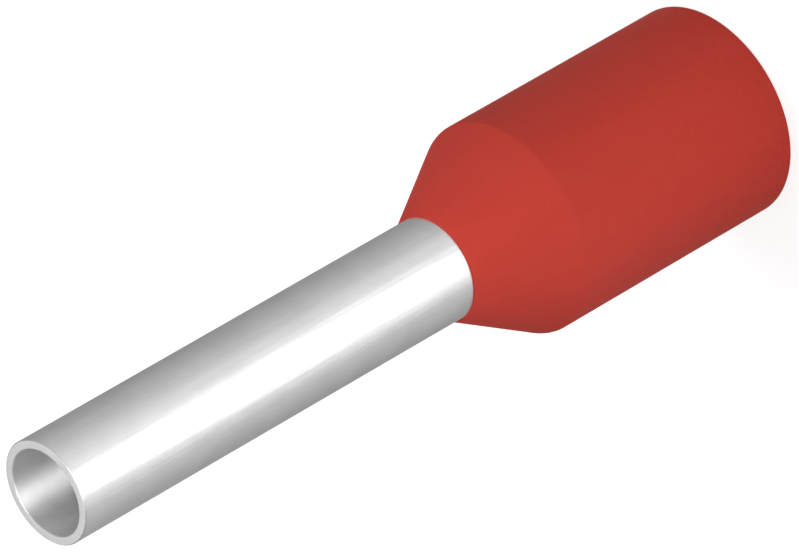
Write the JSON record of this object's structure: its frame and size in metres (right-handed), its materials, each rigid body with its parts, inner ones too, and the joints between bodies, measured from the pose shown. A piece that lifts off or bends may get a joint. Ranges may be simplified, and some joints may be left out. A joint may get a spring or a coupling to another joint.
{
  "type": "wire ferrule",
  "caption": "Insulated wire ferrule: a thin metal sleeve with a flared rear end, held in the neck of a plastic collar whose funnel leads stripped strands into the sleeve.",
  "frame": {"origin": "centre of the collar's rear edge, on the axis", "axes": "+Z along the axis, from the collar's rear edge to the sleeve's tip; the part is turned about Z, so +X and +Y are free"},
  "size_m": [0.0036, 0.0034, 0.014],
  "materials": {
    "tinned_copper": "satin",
    "red_polypropylene": "satin"
  },
  "bodies": {
    "root": {"copper_sleeve": "tinned_copper", "plastic_collar": "red_polypropylene"}
  },
  "joints": []
}
